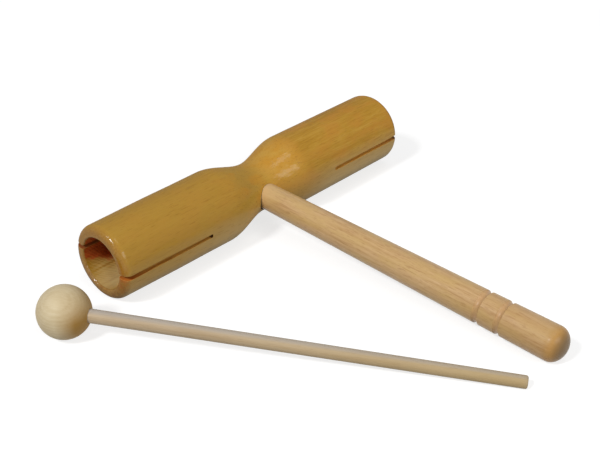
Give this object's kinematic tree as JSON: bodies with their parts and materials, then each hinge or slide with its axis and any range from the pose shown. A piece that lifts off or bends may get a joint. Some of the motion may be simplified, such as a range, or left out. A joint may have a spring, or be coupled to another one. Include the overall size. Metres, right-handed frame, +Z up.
{
  "type": "tubular woodblock",
  "caption": "Turned wooden block with a bored and slit tube at each end, a slim waist and a tapered handle, lying beside its ball-headed beater.",
  "frame": {"origin": "on the table, in the middle of the footprint of the block, its handle and the beater", "axes": "+X along the axis of the tubes, from the beater's end to the other; the handle points to -Y; +Z up from the table"},
  "size_m": [0.2782, 0.2412, 0.045],
  "materials": {
    "block_wood": "golden stain under satin lacquer",
    "handle_wood": "clear satin lacquer",
    "head_wood": "bare, sanded",
    "stick_wood": "bare, sanded"
  },
  "bodies": {
    "woodblock": {"block_body": "block_wood", "handle": "handle_wood"},
    "beater": {"beater_head": "head_wood", "beater_stick": "stick_wood"}
  },
  "joints": [
    {"name": "beater_lift", "type": "slide", "parent": "woodblock", "child": "beater", "axis": [0, 0, 1], "range_m": [0, 0.12]}
  ]
}
